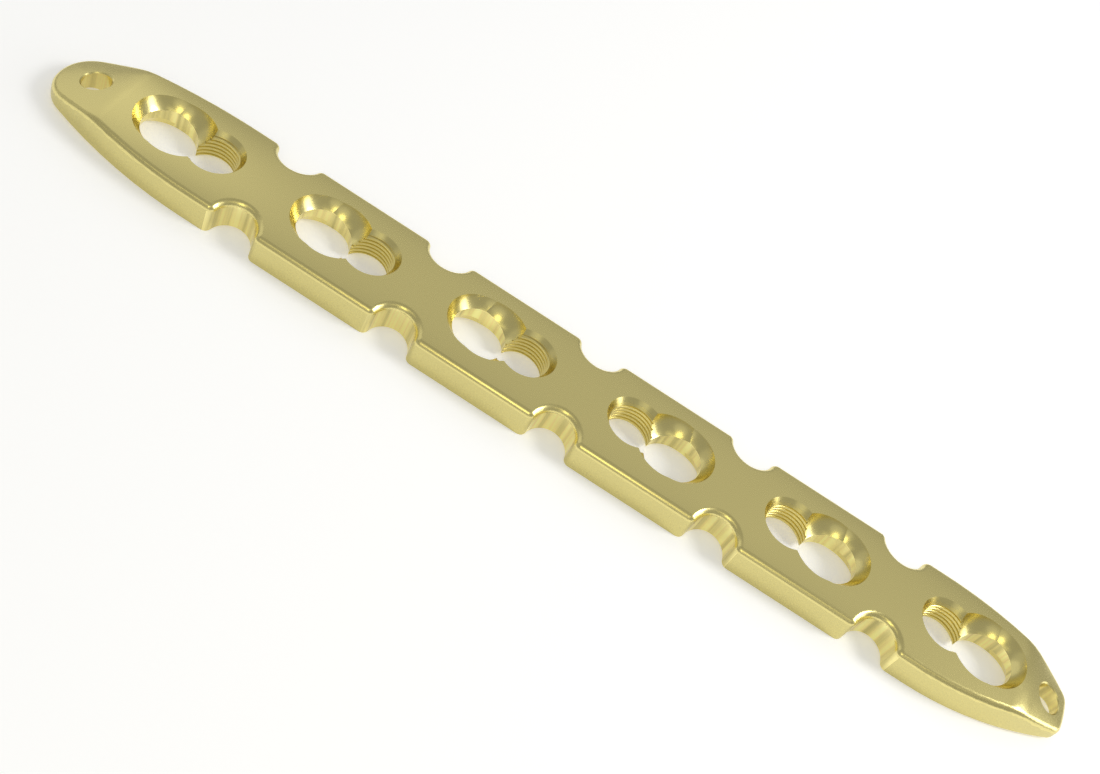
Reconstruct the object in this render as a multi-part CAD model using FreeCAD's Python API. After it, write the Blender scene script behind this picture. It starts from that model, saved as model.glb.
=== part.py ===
"""Narrow locking compression bone plate with six combination holes, in millimetres.

The plate lies along X with its bone side down. X=0 is the middle of the hole pattern, Y=0 is the
long axis, and Z=0 is the plane on which the two long lower edges rest.
"""
import FreeCAD, Part
import math
import os

Vector = FreeCAD.Vector

# Section of the blank
PLATE_WIDTH = 12.5
PLATE_THICKNESS = 3.2
CROWN_RADIUS = 34.5
UNDERSIDE_RADIUS = 31.5
EDGE_FILLET = 0.7

# Hole pattern: cells along X, mirrored about the middle
HOLE_COUNT = 6
HOLE_PITCH = 18.0

# Outline of the left end (-X) and the right end (+X): from the last cell to the tip, and from the
# start of the long side arc to the tip
LEFT_REACH = 14.78
RIGHT_REACH = 12.02
LEFT_ARC_RUN = 18.48
RIGHT_ARC_RUN = 16.12

# As shares of half the width at each end (-1 left, 1 right): how far the side arc has come in at
# the tip, the nose's radius, and the radius of the corner between them
ARC_INSET_SHARES = {-1: 0.5665, 1: 0.6503}
NOSE_SHARES = {-1: 0.736, 1: 2.24}
CORNER_SHARES = {-1: 0.56, 1: 0.24}

# Ramp of the top face down to each tip
LEFT_RAMP_LENGTH = 6.76
RIGHT_RAMP_LENGTH = 5.62
LEFT_RAMP_ANGLE = 17.0
RIGHT_RAMP_ANGLE = 20.5
RAMP_BLEND_RADIUS = 6.0

# Scallops between the holes, in both long edges, with upright corners a little rounder than the
# top edge's fillet, which runs over them
SCALLOP_RADIUS = 2.25
SCALLOP_DEPTH = 2.35
SCALLOP_CORNER_MARGIN = 0.05

# Locking half of a combination hole, on the side of the plate's middle: a bore at the root of the
# screw head's thread, with a chamfered mouth
RING_OFFSET = 2.79
RING_RADIUS = 2.66
RING_CHAMFER_WIDTH = 0.39
RING_CHAMFER_DEPTH = 0.56

# Compression half, on the side of the tip: a ball seat, and the same ball slid outwards and up
SEAT_BALL_RADIUS = 4.12
SEAT_OFFSET = 1.47
SEAT_RISE = 1.39
SLID_SEAT_OFFSET = 2.3
SLID_SEAT_RISE = 1.7

# Upright slot under the seats, short between its round ends' centres, and a slanted relief below
# its outer end for a screw that leans
SLOT_OFFSET = 2.24
SLOT_RADIUS = 2.84
SLOT_SPREAD = 0.12
RELIEF_ANGLE = 35.0
RELIEF_DEPTH = 1.05

# Upright wire hole through each ramp, its upper rim broken by a small chamfer
WIRE_HOLE_RADIUS = 1.46
LEFT_WIRE_HOLE_INSET = 3.97
RIGHT_WIRE_HOLE_INSET = 2.55
WIRE_HOLE_CHAMFER = 0.12

# Cutting tools run this far past what they cut
OVERCUT = 2.0

HALF_WIDTH = PLATE_WIDTH / 2.0
UNDERSIDE_RISE = UNDERSIDE_RADIUS - math.sqrt(UNDERSIDE_RADIUS**2 - HALF_WIDTH**2)
CROWN_HEIGHT = UNDERSIDE_RISE + PLATE_THICKNESS
CELLS = [(index - (HOLE_COUNT - 1) / 2.0) * HOLE_PITCH for index in range(HOLE_COUNT)]
SCALLOP_CORNER_RADIUS = EDGE_FILLET + SCALLOP_CORNER_MARGIN

# Sizes by end: -1 is the left end and 1 the right one
TIPS = {-1: CELLS[0] - LEFT_REACH, 1: CELLS[-1] + RIGHT_REACH}
ARC_RUNS = {-1: LEFT_ARC_RUN, 1: RIGHT_ARC_RUN}
RAMP_LENGTHS = {-1: LEFT_RAMP_LENGTH, 1: RIGHT_RAMP_LENGTH}
RAMP_ANGLES = {-1: LEFT_RAMP_ANGLE, 1: RIGHT_RAMP_ANGLE}
WIRE_HOLE_INSETS = {-1: LEFT_WIRE_HOLE_INSET, 1: RIGHT_WIRE_HOLE_INSET}


def arc(start, middle, end):
    """Edge of a circular arc through three points."""
    return Part.Arc(start, middle, end).toShape()


def line(start, end):
    """Straight edge between two points."""
    return Part.LineSegment(start, end).toShape()


def face_of(edges):
    """Flat face inside a closed loop of edges."""
    return Part.Face(Part.Wire(edges))


def crown_height(y):
    """Height of the crowned top at a distance y from the long axis."""
    return CROWN_HEIGHT - CROWN_RADIUS + math.sqrt(CROWN_RADIUS**2 - y**2)


def underside_height(y):
    """Height of the hollow underside at a distance y from the long axis."""
    return UNDERSIDE_RISE - UNDERSIDE_RADIUS + math.sqrt(UNDERSIDE_RADIUS**2 - y**2)


def section(x):
    """Section of the bar before its outline is cut: a crowned top over a hollow underside."""
    wide = HALF_WIDTH + OVERCUT
    top, low = crown_height(wide), underside_height(wide)
    return face_of([
        arc(Vector(x, -wide, top), Vector(x, 0, CROWN_HEIGHT), Vector(x, wide, top)),
        line(Vector(x, wide, top), Vector(x, wide, low)),
        arc(Vector(x, wide, low), Vector(x, 0, UNDERSIDE_RISE), Vector(x, -wide, low)),
        line(Vector(x, -wide, low), Vector(x, -wide, top)),
    ])


def meeting(centre, radius, other_centre, other_radius, side):
    """The crossing of two circles in plan that lies nearer to one tip."""
    gap = other_centre - centre
    along = (gap.Length**2 + radius**2 - other_radius**2) / (2 * gap.Length)
    aside = math.sqrt(radius**2 - along**2)
    forward = gap / gap.Length
    sideways = Vector(-forward.y, forward.x, 0)
    crossings = [centre + forward * along + sideways * turn * aside for turn in (-1, 1)]
    return max(crossings, key=lambda point: side * point.x)


def on_circle(centre, radius, towards):
    """The circle's point in the direction of another point."""
    ray = towards - centre
    return centre + ray * (radius / ray.Length)


def across(point):
    """The same point on the other side of the long axis."""
    return Vector(point.x, -point.y, point.z)


def side_arcs(side):
    """One end's outline on the +Y side, from the straight edge to the nose: two arcs of three points."""
    run, inset = ARC_RUNS[side], HALF_WIDTH * ARC_INSET_SHARES[side]
    arc_radius = (run**2 + inset**2) / (2 * inset)
    nose_radius = HALF_WIDTH * NOSE_SHARES[side]
    corner_radius = HALF_WIDTH * CORNER_SHARES[side]
    start = Vector(TIPS[side] - side * run, HALF_WIDTH, 0)
    arc_centre = start - Vector(0, arc_radius, 0)
    nose_centre = Vector(TIPS[side] - side * nose_radius, 0, 0)
    corner_centre = meeting(
        arc_centre,
        arc_radius - corner_radius,
        nose_centre,
        nose_radius - corner_radius,
        side,
    )
    corner_start = on_circle(arc_centre, arc_radius, corner_centre)
    corner_end = on_circle(nose_centre, nose_radius, corner_centre)
    arc_middle = on_circle(arc_centre, arc_radius, (start + corner_start) / 2)
    corner_middle = on_circle(corner_centre, corner_radius, (corner_start + corner_end) / 2)
    return [start, arc_middle, corner_start], [corner_start, corner_middle, corner_end]


def scallop_stations():
    """Stations of the scallops: midway between neighbouring cells."""
    return [(first + second) / 2.0 for first, second in zip(CELLS, CELLS[1:])]


def scallop(station):
    """One scallop's outline on the +Y side: corner arc, round floor, corner arc."""
    floor_centre = Vector(station, HALF_WIDTH - SCALLOP_DEPTH + SCALLOP_RADIUS, 0)
    corner_y = HALF_WIDTH - SCALLOP_CORNER_RADIUS
    reach = SCALLOP_RADIUS + SCALLOP_CORNER_RADIUS
    corner_x = math.sqrt(reach**2 - (floor_centre.y - corner_y) ** 2)
    arcs = []
    for turn in (-1, 1):
        corner = Vector(station + turn * corner_x, corner_y, 0)
        on_edge = Vector(corner.x, HALF_WIDTH, 0)
        on_floor = on_circle(floor_centre, SCALLOP_RADIUS, corner)
        middle = on_circle(corner, SCALLOP_CORNER_RADIUS, (on_edge + on_floor) / 2)
        arcs.append([on_edge, middle, on_floor])
    bottom = floor_centre - Vector(0, SCALLOP_RADIUS, 0)
    floor = [arcs[0][2], bottom, arcs[1][2]]
    return [arcs[0], floor, arcs[1][::-1]]


def half_outline():
    """The outline on the +Y side from nose to nose, as arcs of three points and lines of two."""
    left_side, left_corner = side_arcs(-1)
    right_side, right_corner = side_arcs(1)
    pieces = [left_corner[::-1], left_side[::-1]]
    for station in scallop_stations():
        arcs = scallop(station)
        pieces.append([pieces[-1][-1], arcs[0][0]])
        pieces += arcs
    pieces.append([pieces[-1][-1], right_side[0]])
    return pieces + [right_side, right_corner]


def plan_prism():
    """Upright prism of the plate's outline: scalloped edges, and at each end side arcs and a nose."""
    edges = []
    for points in half_outline():
        draw = arc if len(points) == 3 else line
        edges.append(draw(*points))
        edges.append(draw(*[across(point) for point in points]))
    for side in (-1, 1):
        nose_start = side_arcs(side)[1][2]
        edges.append(arc(nose_start, Vector(TIPS[side], 0, 0), across(nose_start)))
    prism = face_of(Part.__sortEdges__(edges)).extrude(Vector(0, 0, CROWN_HEIGHT + 4 * OVERCUT))
    prism.translate(Vector(0, 0, -2 * OVERCUT))
    return prism


def ramp_start(side):
    """Where the top begins to fall towards a tip."""
    return TIPS[side] - side * RAMP_LENGTHS[side]


def ramp_tool(side):
    """Solid over one ramp: the crown arc drawn down along the slope, and everything above it."""
    start = ramp_start(side)
    reach = RAMP_LENGTHS[side] + OVERCUT
    wide = HALF_WIDTH + 2 * OVERCUT
    left = Vector(start, wide, crown_height(wide))
    right = across(left)
    rise = Vector(0, 0, CROWN_HEIGHT + reach)
    profile = face_of([
        arc(right, Vector(start, 0, CROWN_HEIGHT), left),
        line(left, left + rise),
        line(left + rise, right + rise),
        line(right + rise, right),
    ])
    fall = reach * math.tan(math.radians(RAMP_ANGLES[side]))
    return profile.extrude(Vector(side * reach, 0, -fall))


def blank():
    """The bar cut to its outline, with a ramp blended into the top at each tip."""
    length = TIPS[1] - TIPS[-1] + 2 * OVERCUT
    bar = section(TIPS[-1] - OVERCUT).extrude(Vector(length, 0, 0))
    for side in (-1, 1):
        bar = bar.cut(ramp_tool(side))
    creases = []
    for edge in bar.Edges:
        box = edge.BoundBox
        for side in (-1, 1):
            on_start = abs(box.XMin - ramp_start(side)) < 1e-4 and box.XLength < 1e-4
            if on_start and box.YLength > HALF_WIDTH and box.ZMin > UNDERSIDE_RISE:
                creases.append(edge)
    bar = bar.makeFillet(RAMP_BLEND_RADIUS, creases)
    return bar.common(plan_prism())


def round_top_edge(body):
    """Fillet all round the upper outline, over the scallops and down both ramps."""
    rim = []
    for edge in body.Edges:
        faces = body.ancestorsOfType(edge, Part.Face)
        if len(faces) != 2:
            continue
        middle = edge.valueAt((edge.FirstParameter + edge.LastParameter) / 2)
        tops = 0
        for face in faces:
            u, v = face.Surface.parameter(middle)
            if face.normalAt(u, v).z > 0.8:
                tops += 1
        if tops == 1:
            rim.append(edge)
    return body.makeFillet(EDGE_FILLET, rim)


def ball_seat(x, rise):
    """Ball cutter for a screw head, its centre standing above the crown by the given rise."""
    return Part.makeSphere(SEAT_BALL_RADIUS, Vector(x, 0, CROWN_HEIGHT + rise))


def screw_slot(x):
    """Upright slot with round ends under the seats."""
    height = CROWN_HEIGHT + 2 * OVERCUT
    foot = Vector(x - SLOT_SPREAD / 2, 0, -OVERCUT)
    other_foot = foot + Vector(SLOT_SPREAD, 0, 0)
    tool = Part.makeBox(SLOT_SPREAD, 2 * SLOT_RADIUS, height, foot - Vector(0, SLOT_RADIUS, 0))
    tool = tool.fuse(Part.makeCylinder(SLOT_RADIUS, height, foot))
    return tool.fuse(Part.makeCylinder(SLOT_RADIUS, height, other_foot))


def relief(x, outward):
    """Slanted bore, kept to one side of its station, that undercuts the slot's end."""
    angle = math.radians(RELIEF_ANGLE)
    axis = Vector(outward * math.sin(angle), 0, -math.cos(angle))
    lip = Vector(x + outward * SLOT_RADIUS, 0, UNDERSIDE_RISE + RELIEF_DEPTH)
    on_axis = lip - Vector(outward * SLOT_RADIUS / math.cos(angle), 0, 0)
    reach = (CROWN_HEIGHT + OVERCUT) / math.cos(angle)
    slanted = Part.makeCylinder(SLOT_RADIUS, 2 * reach, on_axis - axis * reach, axis)
    side = 2 * reach
    middle_height = UNDERSIDE_RISE + PLATE_THICKNESS / 2
    corner = Vector(min(x, x + outward * side), -side / 2, middle_height - side)
    return slanted.common(Part.makeBox(side, side, side, corner))


def locking_bore(x):
    """Upright bore for the screw head's thread, with a chamfered mouth."""
    bore = Part.makeCylinder(RING_RADIUS, CROWN_HEIGHT + 2 * OVERCUT, Vector(x, 0, -OVERCUT))
    flare = RING_CHAMFER_WIDTH / RING_CHAMFER_DEPTH
    mouth_height = RING_CHAMFER_DEPTH + OVERCUT
    mouth_foot = Vector(x, 0, CROWN_HEIGHT - RING_CHAMFER_DEPTH)
    mouth = Part.makeCone(RING_RADIUS, RING_RADIUS + flare * mouth_height, mouth_height, mouth_foot)
    return bore.fuse(mouth)


def cut_combination_holes(body):
    """Cut every cell's combination hole, its locking half towards the plate's middle."""
    for cell in CELLS:
        outward = 1 if cell > 0 else -1
        for tool in (
            ball_seat(cell + outward * SEAT_OFFSET, SEAT_RISE),
            ball_seat(cell + outward * SLID_SEAT_OFFSET, SLID_SEAT_RISE),
            screw_slot(cell + outward * SLOT_OFFSET),
            relief(cell + outward * (SLOT_OFFSET + SLOT_SPREAD / 2), outward),
            locking_bore(cell - outward * RING_OFFSET),
        ):
            body = body.cut(tool)
    return body


def cut_wire_holes(body):
    """Upright hole for a guide wire through each ramp, its upper rim chamfered."""
    for side in (-1, 1):
        x = TIPS[side] - side * WIRE_HOLE_INSETS[side]
        height = CROWN_HEIGHT + 2 * OVERCUT
        body = body.cut(Part.makeCylinder(WIRE_HOLE_RADIUS, height, Vector(x, 0, -OVERCUT)))
        rim = []
        for edge in body.Edges:
            centre, box = edge.CenterOfMass, edge.BoundBox
            around = abs(centre.x - x) < WIRE_HOLE_RADIUS and abs(centre.y) < WIRE_HOLE_RADIUS
            if around and box.ZMin > PLATE_THICKNESS / 2 and box.YLength > WIRE_HOLE_RADIUS:
                rim.append(edge)
        body = body.makeChamfer(WIRE_HOLE_CHAMFER, rim)
    return body


def bone_plate():
    """The whole plate, from blank to holes."""
    body = round_top_edge(blank())
    body = cut_combination_holes(body)
    body = cut_wire_holes(body)
    return body


def main():
    """Build the plate and write it."""
    os.makedirs("parts", exist_ok=True)
    plate = bone_plate()
    print("solids", len(plate.Solids), "valid", plate.isValid(), "volume", round(plate.Volume, 1))
    plate.exportStep("parts/bone_plate.step")


main()
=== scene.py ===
"""Narrow locking compression bone plate: finishes, thread turns, light and camera, in metres."""

import logging
import math
from dataclasses import dataclass, field, replace
from enum import Enum
from typing import Optional, Sequence

import bmesh
import bpy
import numpy as np
from mathutils import Matrix, Vector


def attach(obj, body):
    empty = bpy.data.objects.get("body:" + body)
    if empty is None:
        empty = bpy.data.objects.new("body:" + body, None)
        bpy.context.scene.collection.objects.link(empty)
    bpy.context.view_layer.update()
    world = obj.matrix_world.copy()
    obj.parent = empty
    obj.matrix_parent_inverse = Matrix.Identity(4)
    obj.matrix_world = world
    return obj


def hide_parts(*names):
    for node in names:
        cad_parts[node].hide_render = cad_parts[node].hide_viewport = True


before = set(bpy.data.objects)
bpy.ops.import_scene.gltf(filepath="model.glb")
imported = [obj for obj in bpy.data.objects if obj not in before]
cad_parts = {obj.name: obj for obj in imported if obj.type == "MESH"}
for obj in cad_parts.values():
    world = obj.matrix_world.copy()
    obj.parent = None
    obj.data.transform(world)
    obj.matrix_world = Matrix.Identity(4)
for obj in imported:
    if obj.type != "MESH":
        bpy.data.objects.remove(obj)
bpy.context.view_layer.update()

LOG = logging.getLogger("bone_plate")
MM = 0.001
BODY = "root"
NODE = "bone_plate"
PHOTO_WIDTH = 1100

# Axes along the plate and up through its holes
ALONG = (1.0, 0.0, 0.0)
UPRIGHT = (0.0, 0.0, 1.0)

# Numbers to a point, and corners to a face, since the solid's mesh is all triangles
XYZ = 3
CORNERS = 3

# The shortest length that is divided by
TINY = 1e-12

# Gold anodised titanium as linear red, green and blue
GOLD = (0.80, 0.70, 0.285)
WHITE = (1.0, 1.0, 1.0, 1.0)

# Where most of a noise texture's values lie
NOISE_RANGE = (0.3, 0.7)

# Places of the colours among a mix node's inputs, and of the mixed colour among its outputs
MIX_FIRST = 6
MIX_SECOND = 7
MIX_RESULT = 2


class Finish(Enum):
    """How a stretch of the plate's surface was left, with a painted shade on the outer walls and the thread
    roots and a painted sheen on the milled walls; the value is its material's place on the plate.
    """

    SATIN = 0
    POLISHED = 1
    MILLED_PAINTED_SHEEN = 2
    ROOT = 3
    SIDE = 4


@dataclass(frozen=True)
class PlateSizes:
    """Sizes of the plate in millimetres, as its solid has them."""

    half_width: float = 6.25
    crown_height: float = 3.826
    crown_radius: float = 34.5
    underside_rise: float = 0.626
    underside_radius: float = 31.5
    hole_count: int = 6
    hole_pitch: float = 18.0
    ring_offset: float = 2.79
    ring_radius: float = 2.66
    ring_chamfer_width: float = 0.39
    ring_chamfer_depth: float = 0.56
    ball_radius: float = 4.12
    seat_offset: float = 1.47
    seat_rise: float = 1.39
    slid_seat_offset: float = 2.3
    slid_seat_rise: float = 1.7
    slot_offset: float = 2.24
    slot_radius: float = 2.84
    slot_spread: float = 0.12
    scallop_radius: float = 2.25
    scallop_depth: float = 2.35
    wire_hole_radius: float = 1.46
    wire_hole_stations: tuple[float, float] = (-55.81, 54.47)

    def cells(self) -> list[float]:
        """Stations of the combination holes along X."""
        return [(i - (self.hole_count - 1) / 2.0) * self.hole_pitch for i in range(self.hole_count)]

    def scallop_stations(self) -> list[float]:
        """Stations of the scallops, midway between the holes."""
        cells = self.cells()
        return [(a + b) / 2.0 for a, b in zip(cells, cells[1:])]

    def chamfer_slope(self) -> float:
        """How much the chamfered mouth of a locking ring widens as it rises."""
        return self.ring_chamfer_width / self.ring_chamfer_depth


@dataclass(frozen=True)
class TrueSurface:
    """A round surface of the solid, from which the mesh takes exact normals.

    A ball has no axis. A tube or a cone has one, a unit vector, and the cone's slope is how much its
    radius grows along the axis. Lengths are in metres.
    """

    centre: tuple[float, float, float]
    radius: float
    finish: Finish
    axis: Optional[tuple[float, float, float]] = None
    slope: float = 0.0

    def measure(self, points: np.ndarray) -> tuple[np.ndarray, np.ndarray]:
        """Measure points against the surface.

        Args:
            points: An array of points, one to a row.

        Returns:
            Each point's distance from the surface, and the surface's unit normal beside it.
        """
        axis = np.array(self.axis or (0.0, 0.0, 0.0))
        rays = points - np.array(self.centre)
        heights = rays @ axis
        rays = rays - np.outer(heights, axis)
        lengths = np.maximum(np.linalg.norm(rays, axis=1), TINY)
        lean = math.hypot(1.0, self.slope)
        gaps = np.abs(lengths - self.radius - self.slope * heights) / lean
        return gaps, (rays / lengths[:, None] - self.slope * axis) / lean


class Wiring:
    """Adds nodes to a tree and joins them."""

    def __init__(self, tree: bpy.types.NodeTree) -> None:
        """Keep the tree that the nodes go into."""
        self.tree = tree

    def node(self, kind: str, settings: Optional[dict] = None, **sockets: object) -> bpy.types.Node:
        """Add a node.

        Args:
            kind: The node's type name.
            settings: The node's own properties.
            **sockets: Values or other nodes' outputs by input name, with _ for a space.

        Returns:
            The new node.
        """
        node = self.tree.nodes.new(kind)
        for name, value in (settings or {}).items():
            setattr(node, name, value)
        for name, value in sockets.items():
            self.feed(node.inputs[name.replace("_", " ")], value)
        return node

    def feed(self, socket: bpy.types.NodeSocket, value: object) -> None:
        """Join an output to a socket, or set the socket's value."""
        if isinstance(value, bpy.types.NodeSocket):
            self.tree.links.new(value, socket)
        else:
            socket.default_value = value

    def combine(self, operation: str, first: object, second: object) -> bpy.types.NodeSocket:
        """Add a node that works out one number from two.

        Args:
            operation: The sum to do.
            first: A value or an output.
            second: A value or an output.

        Returns:
            The result.
        """
        node = self.node("ShaderNodeMath", {"operation": operation})
        self.feed(node.inputs[0], first)
        self.feed(node.inputs[1], second)
        return node.outputs[0]

    def noise(
        self, place: bpy.types.NodeSocket, scale: float, detail: float = 2.0, roughness: float = 0.5
    ) -> bpy.types.NodeSocket:
        """Add a noise texture and return its value."""
        sockets = {"Vector": place, "Scale": scale, "Detail": detail, "Roughness": roughness}
        return self.node("ShaderNodeTexNoise", **sockets).outputs[0]

    def spread(
        self, value: bpy.types.NodeSocket, middle: float, reach: float, span: tuple[float, float]
    ) -> bpy.types.NodeSocket:
        """Map a value's span onto a stretch that reaches as far either side of its middle.

        Args:
            value: The value to map.
            middle: The middle of the stretch.
            reach: How far the stretch goes either way.
            span: The value's own low and high end.

        Returns:
            The mapped value.
        """
        low, high = span
        return self.node(
            "ShaderNodeMapRange",
            Value=value,
            From_Min=low,
            From_Max=high,
            To_Min=middle - reach,
            To_Max=middle + reach,
        ).outputs[0]


@dataclass(frozen=True)
class MetalFinish:
    """Anodised titanium with fine grain, and streaks that run along one direction; the streaks can also
    lighten and darken its colour as a painted sheen.

    Scales are in periods per metre. Bump distances are in metres.
    """

    name: str
    roughness: float
    roughness_spread: float
    grain_scale: float
    grain_bump: float
    streak_scale: tuple[float, float, float]
    streak_bump: float
    colour: tuple[float, float, float] = GOLD
    painted_streak_sheen: float = 0.0
    cloud_scale: float = 70.0
    cloud_tone: float = 0.04
    grain_detail: float = 4.0
    grain_roughness: float = 0.6

    def material(self) -> bpy.types.Material:
        """Build the material.

        Returns:
            A metal whose grain and streaks come from noise on Object coordinates.
        """
        made = bpy.data.materials.new(self.name)
        made.use_nodes = True
        tree = made.node_tree
        tree.nodes.clear()
        wiring = Wiring(tree)
        place = wiring.node("ShaderNodeTexCoord").outputs["Object"]
        grain = wiring.noise(place, self.grain_scale, self.grain_detail, self.grain_roughness)
        stretched = wiring.node("ShaderNodeMapping", Vector=place, Scale=self.streak_scale)
        streaks = wiring.noise(stretched.outputs[0], 1.0)
        clouds = wiring.noise(place, self.cloud_scale)
        cloud_tone = wiring.spread(clouds, 1.0, self.cloud_tone, (0.0, 1.0))
        # Painted sheen: where a finish gives it, the streaks lighten and darken the colour
        painted_streak_sheen = wiring.spread(streaks, 1.0, self.painted_streak_sheen, NOISE_RANGE)
        tint = wiring.node("ShaderNodeMix", {"data_type": "RGBA", "blend_type": "MULTIPLY"}, Factor=1.0)
        wiring.feed(tint.inputs[MIX_FIRST], (*self.colour, 1.0))
        wiring.feed(tint.inputs[MIX_SECOND], wiring.combine("MULTIPLY", cloud_tone, painted_streak_sheen))
        fine = wiring.node("ShaderNodeBump", Height=grain, Strength=1.0, Distance=self.grain_bump)
        both = wiring.node(
            "ShaderNodeBump",
            Height=streaks,
            Strength=1.0,
            Distance=self.streak_bump,
            Normal=fine.outputs[0],
        )
        metal = wiring.node(
            "ShaderNodeBsdfPrincipled",
            Base_Color=tint.outputs[MIX_RESULT],
            Metallic=1.0,
            Roughness=wiring.spread(grain, self.roughness, self.roughness_spread, NOISE_RANGE),
            Normal=both.outputs[0],
        )
        wiring.node("ShaderNodeOutputMaterial", Surface=metal.outputs[0])
        return made


SATIN = MetalFinish(
    name="satin_anodised_face",
    roughness=0.26,
    roughness_spread=0.025,
    grain_scale=9000.0,
    grain_bump=1.5e-7,
    streak_scale=(300.0, 2500.0, 2500.0),
    streak_bump=3e-7,
)
POLISHED = MetalFinish(
    name="polished_screw_seat",
    roughness=0.24,
    roughness_spread=0.03,
    grain_scale=6000.0,
    grain_bump=1e-7,
    streak_scale=(900.0, 900.0, 2500.0),
    streak_bump=2e-7,
)
# Milled walls: real milling streaks in the bump, and a painted sheen in the lighter colour and the streaked
# tone
MILLED_PAINTED_SHEEN = MetalFinish(
    name="side_milled_wall_painted_sheen",
    roughness=0.2,
    roughness_spread=0.04,
    grain_scale=7000.0,
    grain_bump=6e-7,
    streak_scale=(1300.0, 1300.0, 20.0),
    streak_bump=1.2e-5,
    colour=(0.86, 0.76, 0.33),
    painted_streak_sheen=0.3,
)
# Painted shade: the thread's root, the ring wall between the turns, in a dark copy of the gold
ROOT = MetalFinish(
    name="thread_root_painted_shade",
    roughness=0.35,
    roughness_spread=0.03,
    grain_scale=7000.0,
    grain_bump=4e-7,
    streak_scale=(600.0, 600.0, 2500.0),
    streak_bump=6e-7,
    colour=(0.2, 0.14, 0.03),
)
THREAD = replace(ROOT, name="cut_thread", roughness=0.3, colour=(0.80, 0.69, 0.26))

# Painted shade: the same metal as the face, coloured a little darker, since the photograph's outer walls
# reflect a darker room
SIDE = replace(SATIN, name="side_wall_painted_shade", roughness=0.28, colour=(0.68, 0.6, 0.25))

PLATE_FINISHES = {
    Finish.SATIN: SATIN,
    Finish.POLISHED: POLISHED,
    Finish.MILLED_PAINTED_SHEEN: MILLED_PAINTED_SHEEN,
    Finish.ROOT: ROOT,
    Finish.SIDE: SIDE,
}


def read_rows(
    parts: bpy.types.bpy_prop_collection, name: str, width: int, kind: type = np.float64
) -> np.ndarray:
    """Read one property of a mesh's parts.

    Args:
        parts: The mesh's vertices, faces or corners.
        name: The property's name.
        width: How many numbers the property has.
        kind: The numbers' type.

    Returns:
        The numbers, one part to a row.
    """
    values = np.zeros(len(parts) * width, kind)
    parts.foreach_get(name, values)
    return values.reshape(-1, width)


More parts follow.
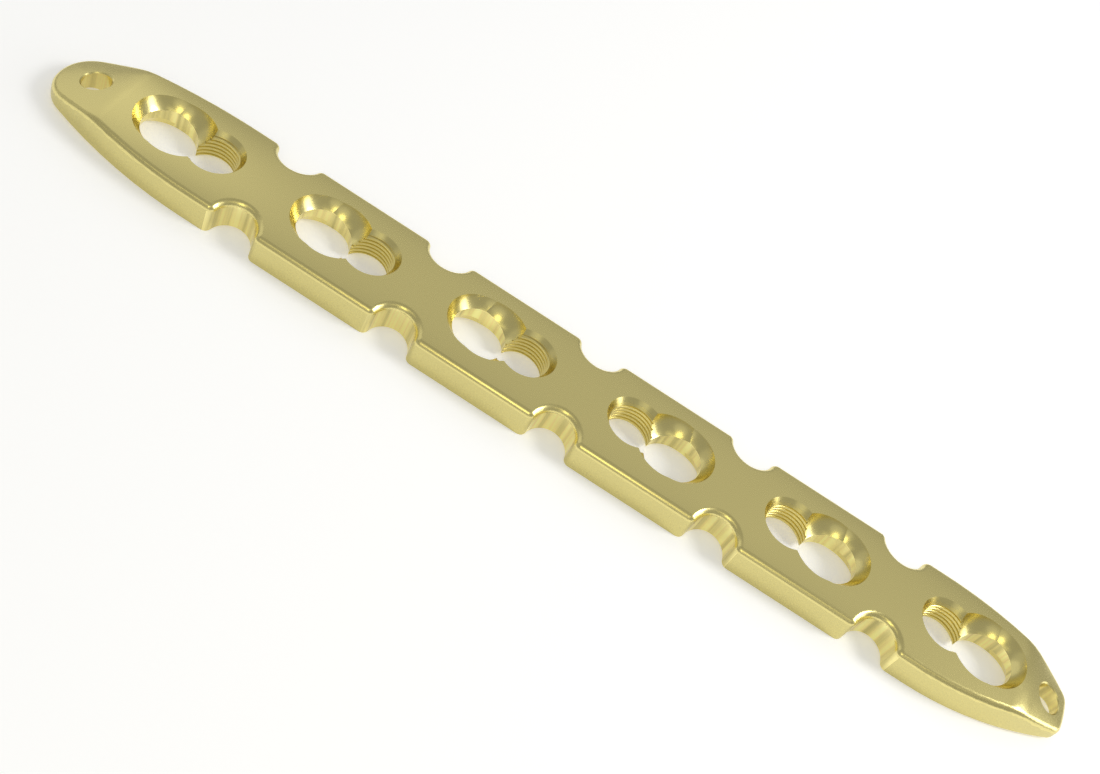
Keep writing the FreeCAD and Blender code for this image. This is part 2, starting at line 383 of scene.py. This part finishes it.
@dataclass
class PlateBody:
    """The plate's whole surface, smooth shaded with exact normals and finished by region, some regions with
    painted shade and sheen.

    Distances are in metres and angles in radians. The wall lean is the sine of the most that a wall leans.
    """

    sizes: PlateSizes = field(default_factory=PlateSizes)
    weld_distance: float = 2e-7
    on_surface: float = 2.5e-6
    sharp_angle: float = math.radians(26.0)
    match_angle: float = math.radians(20.0)
    wall_lean: float = math.sin(math.radians(8.0))

    def true_surfaces(self) -> list[TrueSurface]:
        """List the solid's round surfaces.

        Returns:
            The crown, the underside and the walls of every hole and scallop.
        """
        s = self.sizes
        crown = (0.0, 0.0, (s.crown_height - s.crown_radius) * MM)
        hollow = (0.0, 0.0, (s.underside_rise - s.underside_radius) * MM)
        found = [
            TrueSurface(crown, s.crown_radius * MM, Finish.SATIN, ALONG),
            TrueSurface(hollow, s.underside_radius * MM, Finish.SATIN, ALONG),
        ]
        for cell in s.cells():
            found += self.hole_surfaces(cell)
        for station in s.scallop_stations():
            for turn in (-1.0, 1.0):
                y = turn * (s.half_width - s.scallop_depth + s.scallop_radius)
                centre = (station * MM, y * MM, 0.0)
                found.append(TrueSurface(centre, s.scallop_radius * MM, Finish.MILLED_PAINTED_SHEEN, UPRIGHT))
        for station in s.wire_hole_stations:
            centre = (station * MM, 0.0, 0.0)
            found.append(TrueSurface(centre, s.wire_hole_radius * MM, Finish.MILLED_PAINTED_SHEEN, UPRIGHT))
        return found

    def hole_surfaces(self, cell: float) -> list[TrueSurface]:
        """List the round surfaces of one combination hole.

        Args:
            cell: The hole's station along X, in millimetres.

        Returns:
            The two ball seats, the slot's ends, the locking ring's wall and its chamfered mouth.
        """
        s = self.sizes
        found = []
        out = 1.0 if cell > 0 else -1.0
        for offset, rise in ((s.seat_offset, s.seat_rise), (s.slid_seat_offset, s.slid_seat_rise)):
            centre = ((cell + out * offset) * MM, 0.0, (s.crown_height + rise) * MM)
            found.append(TrueSurface(centre, s.ball_radius * MM, Finish.POLISHED))
        for shift in (-s.slot_spread / 2, s.slot_spread / 2):
            centre = ((cell + out * s.slot_offset + shift) * MM, 0.0, 0.0)
            found.append(TrueSurface(centre, s.slot_radius * MM, Finish.MILLED_PAINTED_SHEEN, UPRIGHT))
        ring_x = (cell - out * s.ring_offset) * MM
        # The ring's wall shows between the thread turns and takes the root's painted shade
        found.append(TrueSurface((ring_x, 0.0, 0.0), s.ring_radius * MM, Finish.ROOT, UPRIGHT))
        mouth = (ring_x, 0.0, (s.crown_height - s.ring_chamfer_depth) * MM)
        found.append(TrueSurface(mouth, s.ring_radius * MM, Finish.POLISHED, UPRIGHT, s.chamfer_slope()))
        return found

    def welded(self) -> bpy.types.Mesh:
        """Copy the solid's mesh and join its loose faces.

        Returns:
            A closed mesh with its sharp edges marked.
        """
        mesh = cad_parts[NODE].data.copy()
        mesh.name = "plate_body"
        work = bmesh.new()
        work.from_mesh(mesh)
        bmesh.ops.remove_doubles(work, verts=work.verts, dist=self.weld_distance)
        creases = self.seat_creases()
        for face in work.faces:
            face.smooth = True
        for edge in work.edges:
            sharp = len(edge.link_faces) != 2 or edge.calc_face_angle(0.0) > self.sharp_angle
            edge.smooth = not (sharp or self.on_crease(edge, creases))
        work.to_mesh(mesh)
        work.free()
        return mesh

    def seat_creases(self) -> list[tuple[TrueSurface, TrueSurface]]:
        """Pair each seat's ball with the same ball slid outwards."""
        balls = [surface for surface in self.true_surfaces() if surface.axis is None]
        return list(zip(balls[0::2], balls[1::2]))

    def on_crease(self, edge: bmesh.types.BMEdge, creases: Sequence[tuple[TrueSurface, TrueSurface]]) -> bool:
        """Say whether an edge lies on the line where two ball seats meet.

        Args:
            edge: The edge to test.
            creases: The pairs of balls.

        Returns:
            True if both its ends lie on both balls of a pair.
        """
        for pair in creases:
            ends = [vert.co for vert in edge.verts]
            gaps = [abs((end - Vector(ball.centre)).length - ball.radius) for ball in pair for end in ends]
            if max(gaps) < self.on_surface:
                return True
        return False

    def refine(self, mesh: bpy.types.Mesh) -> None:
        """Give the mesh exact normals on its round surfaces, and each face its finish, some faces with
        painted shade and sheen.

        Args:
            mesh: The welded mesh, which is changed.
        """
        corners = read_rows(mesh.loops, "vertex_index", 1, np.int64)[:, 0]
        points = read_rows(mesh.vertices, "co", XYZ)
        flats = read_rows(mesh.polygons, "normal", XYZ)
        owners = np.repeat(np.arange(len(flats)), CORNERS)
        normals = np.array([tuple(corner.vector) for corner in mesh.corner_normals])
        best = np.full(len(corners), math.cos(self.match_angle))
        finishes_and_painted_light = np.full(len(flats), Finish.SATIN.value, np.int32)
        for surface in self.true_surfaces():
            gaps, rays = surface.measure(points)
            near = gaps[corners] < self.on_surface
            turned = rays[corners]
            match = np.einsum("ij,ij->i", turned, flats[owners])
            turned = turned * np.sign(match)[:, None]
            better = near & (np.abs(match) > best)
            normals[better] = turned[better]
            best[better] = np.abs(match)[better]
            whole = better.reshape(-1, CORNERS).all(axis=1)
            finishes_and_painted_light[whole] = surface.finish.value
        centres = points[corners].reshape(-1, CORNERS, XYZ).mean(axis=1)
        self.finish_walls(centres, flats, finishes_and_painted_light)
        mesh.polygons.foreach_set("material_index", finishes_and_painted_light)
        mesh.normals_split_custom_set(normals.tolist())

    def finish_walls(self, centres: np.ndarray, flats: np.ndarray, finishes_and_painted_light: np.ndarray) -> None:
        """Finish the upright walls that aren't in the list of round surfaces, painting shade on the outer
        ones.

        Args:
            centres: Each face's centre.
            flats: Each face's normal.
            finishes_and_painted_light: Each face's finish, which is changed: walls that face away from the
                middle of the plate are its outer sides, which take a painted shade, and the others are the
                slots' flat strips, which take the milled walls' painted sheen.
        """
        walls = (np.abs(flats[:, 2]) < self.wall_lean) & (finishes_and_painted_light == Finish.SATIN.value)
        outward = np.einsum("ij,ij->i", centres, flats) > 0.0
        # Painted shade on the outer walls, a darker copy of the face's metal; the flat strips take the milled
        # walls' painted sheen
        finishes_and_painted_light[walls & outward] = Finish.SIDE.value
        finishes_and_painted_light[walls & ~outward] = Finish.MILLED_PAINTED_SHEEN.value

    def build(self) -> bpy.types.Object:
        """Make the piece that stands for the solid.

        Returns:
            The finished piece.
        """
        mesh = self.welded()
        mesh.materials.clear()
        for finish in Finish:
            mesh.materials.append(PLATE_FINISHES[finish].material())
        self.refine(mesh)
        piece = bpy.data.objects.new("plate_body", mesh)
        bpy.context.scene.collection.objects.link(piece)
        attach(piece, BODY)
        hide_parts(NODE)
        return piece


@dataclass
class LockingThreads:
    """The thread turns on the wall of each locking half, cut away where the hole opens.

    Lengths are in millimetres and angles in radians.
    """

    sizes: PlateSizes = field(default_factory=PlateSizes)
    pitch: float = 0.47
    crest_height: float = 0.2
    root_width: float = 0.45
    crest_width: float = 0.27
    embed: float = 0.03
    steps_per_turn: int = 64
    cutter_segments: int = 128
    cutter_size: float = 20.0
    clear_above: float = 1.0
    clear_below: float = 0.06
    sharp_angle: float = math.radians(28.0)

    def inputs(self) -> dict[str, float]:
        """List the tree's sizes by name, in metres, with the turns as a number."""
        s = self.sizes
        bottom = s.underside_rise - self.pitch
        top = s.crown_height - s.ring_chamfer_depth + self.pitch / 2
        depth = self.crest_height + self.embed
        return {
            "Ring Radius": (s.ring_radius + self.embed - depth / 2) * MM,
            "Ring Offset": -s.ring_offset * MM,
            "Start Height": bottom * MM,
            "Thread Length": (top - bottom) * MM,
            "Turns": (top - bottom) / self.pitch,
            "Profile Depth": depth * MM,
            "Root Width": self.root_width * MM,
            "Crest Width": self.crest_width * MM,
            "Hole Pitch": s.hole_pitch * MM,
        }

    def tree(self, material: bpy.types.Material) -> bpy.types.NodeTree:
        """Build the tree of Geometry Nodes.

        Args:
            material: What the turns are made of.

        Returns:
            A tree that sweeps the thread, cuts it back and sets one in each hole.
        """
        made = bpy.data.node_groups.new("locking_threads", "GeometryNodeTree")
        made.interface.new_socket("Geometry", in_out="INPUT", socket_type="NodeSocketGeometry")
        for name in self.inputs():
            made.interface.new_socket(name, in_out="INPUT", socket_type="NodeSocketFloat")
        made.interface.new_socket("Geometry", in_out="OUTPUT", socket_type="NodeSocketGeometry")
        wiring = Wiring(made)
        given = wiring.node("NodeGroupInput").outputs
        thread = self.sweep(wiring, given)
        trimmed = self.trim(wiring, thread)
        placed = self.set_in_holes(wiring, given, trimmed)
        solid = wiring.node("GeometryNodeRealizeInstances", Geometry=placed)
        dressed = wiring.node("GeometryNodeSetMaterial", Geometry=solid.outputs[0], Material=material)
        wiring.node("NodeGroupOutput", Geometry=dressed.outputs[0])
        return made

    def sweep(self, wiring: Wiring, given: bpy.types.NodeOutputs) -> bpy.types.NodeSocket:
        """Sweep the thread's section along its helix.

        Args:
            wiring: The tree's wiring.
            given: The tree's inputs.

        Returns:
            The closed mesh of one right-handed thread about its ring's own axis.
        """
        helix = wiring.node(
            "GeometryNodeCurveSpiral",
            Resolution=self.steps_per_turn,
            Rotations=given["Turns"],
            Start_Radius=given["Ring Radius"],
            End_Radius=given["Ring Radius"],
            Height=given["Thread Length"],
            Reverse=True,
        )
        upright = wiring.node("GeometryNodeSetCurveNormal", {"mode": "Z_UP"}, Curve=helix.outputs[0])
        section = wiring.node(
            "GeometryNodeCurvePrimitiveQuadrilateral",
            {"mode": "TRAPEZOID"},
            Bottom_Width=given["Root Width"],
            Top_Width=given["Crest Width"],
            Height=given["Profile Depth"],
            Offset=0.0,
        )
        turned = wiring.node(
            "GeometryNodeTransform", Geometry=section.outputs[0], Rotation=(0.0, 0.0, math.pi / 2)
        )
        swept = wiring.node(
            "GeometryNodeCurveToMesh",
            Curve=upright.outputs[0],
            Profile_Curve=turned.outputs[0],
            Fill_Caps=True,
        )
        shift = wiring.node("ShaderNodeCombineXYZ", X=given["Ring Offset"], Z=given["Start Height"])
        return wiring.node(
            "GeometryNodeTransform", Geometry=swept.outputs[0], Translation=shift.outputs[0]
        ).outputs[0]

    def cutters(self, wiring: Wiring) -> list[bpy.types.NodeSocket]:
        """Make the spaces that cut the thread back.

        Args:
            wiring: The tree's wiring.

        Returns:
            The slot, the ball seat, the chamfered mouth and the space below the plate.
        """
        s = self.sizes
        slope = s.chamfer_slope()
        apex_height = s.crown_height - s.ring_chamfer_depth - s.ring_radius / slope
        mouth_height = s.crown_height + self.clear_above - apex_height
        below_height = self.cutter_size / 2
        slot = wiring.node(
            "GeometryNodeMeshCylinder",
            Vertices=self.cutter_segments,
            Radius=s.slot_radius * MM,
            Depth=self.cutter_size * MM,
        )
        ball = wiring.node(
            "GeometryNodeMeshUVSphere",
            Segments=self.cutter_segments,
            Rings=self.cutter_segments // 2,
            Radius=s.ball_radius * MM,
        )
        mouth = wiring.node(
            "GeometryNodeMeshCone",
            Vertices=self.cutter_segments,
            Radius_Top=mouth_height * slope * MM,
            Radius_Bottom=0.0,
            Depth=mouth_height * MM,
        )
        sides = (self.cutter_size, self.cutter_size, below_height)
        below = wiring.node("GeometryNodeMeshCube", Size=[side * MM for side in sides])
        places = (
            (slot, (s.slot_offset - s.slot_spread / 2, 0.0, 0.0)),
            (ball, (s.seat_offset, 0.0, s.crown_height + s.seat_rise)),
            (mouth, (-s.ring_offset, 0.0, apex_height)),
            (below, (0.0, 0.0, s.underside_rise - self.clear_below - below_height / 2)),
        )
        made = []
        for cutter, place in places:
            shift = [value * MM for value in place]
            moved = wiring.node("GeometryNodeTransform", Geometry=cutter.outputs[0], Translation=shift)
            made.append(moved.outputs[0])
        return made

    def trim(self, wiring: Wiring, thread: bpy.types.NodeSocket) -> bpy.types.NodeSocket:
        """Cut the thread back to its wall.

        Args:
            wiring: The tree's wiring.
            thread: The whole thread.

        Returns:
            The thread without what stands in an opening, one cut after the other.
        """
        for cutter in self.cutters(wiring):
            cut = wiring.node("GeometryNodeMeshBoolean", {"operation": "DIFFERENCE", "solver": "EXACT"})
            wiring.feed(cut.inputs["Mesh 1"], thread)
            wiring.feed(cut.inputs["Mesh 2"], cutter)
            thread = cut.outputs[0]
        return thread

    def set_in_holes(
        self, wiring: Wiring, given: bpy.types.NodeOutputs, thread: bpy.types.NodeSocket
    ) -> bpy.types.NodeSocket:
        """Set a copy of the thread in every combination hole.

        Args:
            wiring: The tree's wiring.
            given: The tree's inputs.
            thread: The trimmed thread.

        Returns:
            The instances, turned round in the left half so that the ring faces the middle.
        """
        count = self.sizes.hole_count
        step = wiring.node("ShaderNodeCombineXYZ", X=given["Hole Pitch"])
        first = wiring.combine("MULTIPLY", given["Hole Pitch"], -(count - 1) / 2.0)
        start = wiring.node("ShaderNodeCombineXYZ", X=first)
        row = wiring.node(
            "GeometryNodeMeshLine",
            {"mode": "OFFSET", "count_mode": "TOTAL"},
            Count=count,
            Start_Location=start.outputs[0],
            Offset=step.outputs[0],
        )
        position = wiring.node("GeometryNodeInputPosition")
        parts = wiring.node("ShaderNodeSeparateXYZ", Vector=position.outputs[0])
        leftward = wiring.combine("LESS_THAN", parts.outputs[0], 0.0)
        turn = wiring.combine("MULTIPLY", leftward, math.pi)
        rotation = wiring.node("ShaderNodeCombineXYZ", Z=turn)
        return wiring.node(
            "GeometryNodeInstanceOnPoints",
            Points=row.outputs[0],
            Instance=thread,
            Rotation=rotation.outputs[0],
        ).outputs[0]

    def build(self) -> bpy.types.Object:
        """Make the thread turns as one plain mesh.

        Returns:
            The finished piece.
        """
        seed = bpy.data.meshes.new("locking_threads_seed")
        carrier = bpy.data.objects.new("locking_threads_carrier", seed)
        bpy.context.scene.collection.objects.link(carrier)
        tree = self.tree(THREAD.material())
        modifier = carrier.modifiers.new("threads", "NODES")
        modifier.node_group = tree
        values = self.inputs()
        for item in tree.interface.items_tree:
            if item.in_out == "INPUT" and item.name in values:
                modifier[item.identifier] = values[item.name]
        depsgraph = bpy.context.evaluated_depsgraph_get()
        mesh = bpy.data.meshes.new_from_object(carrier.evaluated_get(depsgraph), depsgraph=depsgraph)
        carrier.modifiers.remove(modifier)
        bpy.data.objects.remove(carrier)
        mesh.name = "locking_threads"
        mesh.polygons.foreach_set("use_smooth", [True] * len(mesh.polygons))
        mesh.set_sharp_from_angle(angle=self.sharp_angle)
        piece = bpy.data.objects.new("locking_threads", mesh)
        bpy.context.scene.collection.objects.link(piece)
        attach(piece, BODY)
        return piece


@dataclass(frozen=True)
class Softbox:
    """An oval light that faces the plate's middle.

    Its bearing from +X and its elevation are in degrees, and its distance, width and height in metres.
    Its glow is how bright its face is, where a white floor under full light is about 1.
    """

    name: str
    bearing: float
    elevation: float
    distance: float
    width: float
    height: float
    glow: float
    tint: tuple[float, float, float] = (1.0, 1.0, 1.0)

    def place(self) -> Vector:
        """Work out where the light stands."""
        bearing, elevation = math.radians(self.bearing), math.radians(self.elevation)
        level = math.cos(elevation)
        towards = (level * math.cos(bearing), level * math.sin(bearing), math.sin(elevation))
        return self.distance * Vector(towards)

    def build(self) -> None:
        """Make the light, turned to the plate."""
        data = bpy.data.lights.new(self.name, "AREA")
        data.shape = "ELLIPSE"
        data.color = self.tint
        data.size = self.width
        data.size_y = self.height
        data.energy = self.glow * math.pi * (math.pi / 4) * self.width * self.height
        light = bpy.data.objects.new(self.name, data)
        light.location = self.place()
        light.rotation_euler = (-self.place()).to_track_quat("-Z", "Y").to_euler()
        bpy.context.scene.collection.objects.link(light)


@dataclass
class Studio:
    """A plain pale floor under soft light. The floor gives off a little light of its own."""

    floor_size: float = 3.0
    floor_tone: float = 0.92
    floor_roughness: float = 0.9
    floor_specular: float = 0.1
    floor_glow: float = 0.28
    sky_strength: float = 0.38
    softboxes: tuple[Softbox, ...] = (
        Softbox("key", 12.0, 42.0, 0.4, 0.14, 0.14, 12.0),
        Softbox("front", -90.0, 41.5, 0.5, 0.15, 0.15, 2.6, (1.0, 0.93, 0.5)),
        Softbox("front_strip", -90.0, 54.0, 0.5, 0.7, 0.08, 0.7, (1.0, 0.95, 0.7)),
        Softbox("front_low", -84.0, 25.0, 0.5, 0.36, 0.22, 0.2),
        Softbox("left", -172.0, 20.0, 0.6, 0.36, 0.44, 0.12),
        Softbox("right", 7.0, 18.0, 0.5, 0.2, 0.34, 2.6),
        Softbox("back", 88.0, 48.0, 0.7, 0.9, 0.6, 0.16),
        Softbox("back_left", 150.0, 36.0, 0.6, 0.6, 0.5, 0.34),
    )

    def build_floor(self) -> None:
        """Make the floor on which the plate rests."""
        half = self.floor_size / 2
        corners = [(-half, -half, 0), (half, -half, 0), (half, half, 0), (-half, half, 0)]
        mesh = bpy.data.meshes.new("studio_floor")
        mesh.from_pydata(corners, [], [(0, 1, 2, 3)])
        paint = bpy.data.materials.new("pale_floor")
        paint.use_nodes = True
        matt = paint.node_tree.nodes["Principled BSDF"]
        settings = {
            "Base Color": (self.floor_tone,) * 3 + (1.0,),
            "Roughness": self.floor_roughness,
            "Specular IOR Level": self.floor_specular,
            "Emission Color": WHITE,
            "Emission Strength": self.floor_glow,
        }
        for name, value in settings.items():
            matt.inputs[name].default_value = value
        mesh.materials.append(paint)
        floor = bpy.data.objects.new("studio_floor", mesh)
        bpy.context.scene.collection.objects.link(floor)

    def build_sky(self) -> None:
        """Fill the room with an even pale light."""
        world = bpy.data.worlds.new("studio_sky")
        world.use_nodes = True
        background = world.node_tree.nodes["Background"]
        background.inputs["Color"].default_value = WHITE
        background.inputs["Strength"].default_value = self.sky_strength
        bpy.context.scene.world = world

    def build(self) -> None:
        """Make the floor, the sky and the softboxes."""
        self.build_floor()
        self.build_sky()
        for softbox in self.softboxes:
            softbox.build()
        bpy.context.scene.view_settings.view_transform = "Standard"


@dataclass(frozen=True)
class Viewpoint:
    """The photograph's camera, placed in millimetres.

    The rows of its turn are the directions right, down and ahead. Its focal length is in the
    photograph's pixels, its sensor's width in millimetres and its near limit in metres.
    """

    focal_px: float = 1417.006
    place: tuple[float, float, float] = (-1.95666, -94.55296, 102.89257)
    right: tuple[float, float, float] = (0.84007029, 0.39976659, 0.36669958)
    down: tuple[float, float, float] = (0.54245675, -0.61312526, -0.57429791)
    ahead: tuple[float, float, float] = (-0.00475235, 0.68136927, -0.7319244)
    sensor: float = 36.0
    near_limit: float = 0.005

    def build(self) -> None:
        """Make the camera and give it to the scene."""
        data = bpy.data.cameras.new("photo_view")
        data.sensor_width = self.sensor
        data.sensor_fit = "HORIZONTAL"
        data.lens = self.focal_px * self.sensor / PHOTO_WIDTH
        data.clip_start = self.near_limit
        camera = bpy.data.objects.new("photo_view", data)
        columns = (Vector(self.right), -Vector(self.down), -Vector(self.ahead))
        turn = Matrix(columns).transposed()
        camera.matrix_world = Matrix.Translation(Vector(self.place) * MM) @ turn.to_4x4()
        bpy.context.scene.collection.objects.link(camera)
        bpy.context.scene.camera = camera


def main() -> None:
    """Build the plate's pieces, then the studio and the camera."""
    logging.basicConfig(level=logging.INFO, format="%(message)s")
    for builder in (PlateBody(), LockingThreads()):
        piece = builder.build()
        LOG.info("%s: %d faces", piece.name, len(piece.data.polygons))
    Studio().build()
    Viewpoint().build()


if __name__ == "__main__":
    main()
